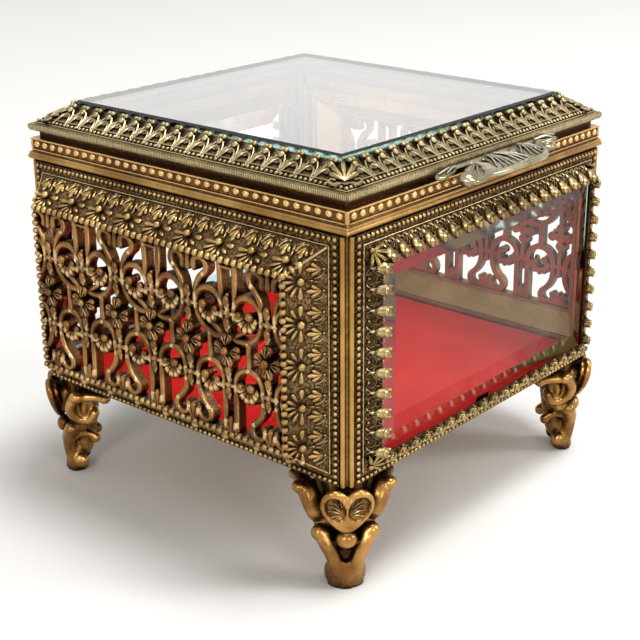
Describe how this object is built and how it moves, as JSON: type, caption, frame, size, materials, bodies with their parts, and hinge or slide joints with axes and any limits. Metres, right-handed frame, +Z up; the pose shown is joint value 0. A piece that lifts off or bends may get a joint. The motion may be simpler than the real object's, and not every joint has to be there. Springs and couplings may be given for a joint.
{
  "type": "casket box",
  "caption": "Footed square casket of cast brass with pierced scrollwork sides, bevelled glass windows, a hinged glazed lid and a velvet pad.",
  "frame": {"origin": "on the ground, under the middle of the whole casket's outline, thumb lift included", "axes": "+X to the right seen from the front, +Y to the back, +Z up; the thumb lift is at -Y and the hinge at +Y"},
  "size_m": [0.117, 0.1142, 0.097],
  "materials": {
    "cast_brass": "antiqued, dark recesses and rubbed gold relief",
    "bronzed_brass": "antiqued, orange-bronze",
    "pale_brass": "antiqued, pale khaki",
    "plain_brass": "plain satin",
    "glass": "clear, polished, bevelled",
    "velvet": "short-pile velvet",
    "card": "plain pressed board"
  },
  "bodies": {
    "casket": {"base_plate": "plain_brass", "pad_board": "card", "velvet_pad": "velvet", "side_panel_left": "cast_brass", "side_panel_right": "cast_brass", "front_frame": "cast_brass", "back_frame": "cast_brass", "front_glass": "glass", "back_glass": "glass", "front_glass_clips": "plain_brass", "back_glass_clips": "plain_brass", "post_front_left": "cast_brass", "post_front_right": "cast_brass", "post_back_left": "cast_brass", "post_back_right": "cast_brass", "collar_front": "bronzed_brass", "collar_back": "bronzed_brass", "collar_left": "bronzed_brass", "collar_right": "bronzed_brass", "foot_front_left": "bronzed_brass", "foot_front_right": "bronzed_brass", "foot_back_left": "bronzed_brass", "foot_back_right": "bronzed_brass", "foot_screws": "plain_brass", "hinge_body_leaf": "plain_brass", "hinge_pin": "plain_brass"},
    "lid": {"lid_frame": "pale_brass", "lid_glass": "glass", "thumb_lift": "pale_brass", "hinge_lid_leaf": "plain_brass"}
  },
  "joints": [
    {"name": "lid_hinge", "type": "hinge", "parent": "casket", "child": "lid", "pos_m": [0, 0.0538, 0.0889], "axis": [-1, 0, 0], "range_deg": [0, 100]}
  ]
}
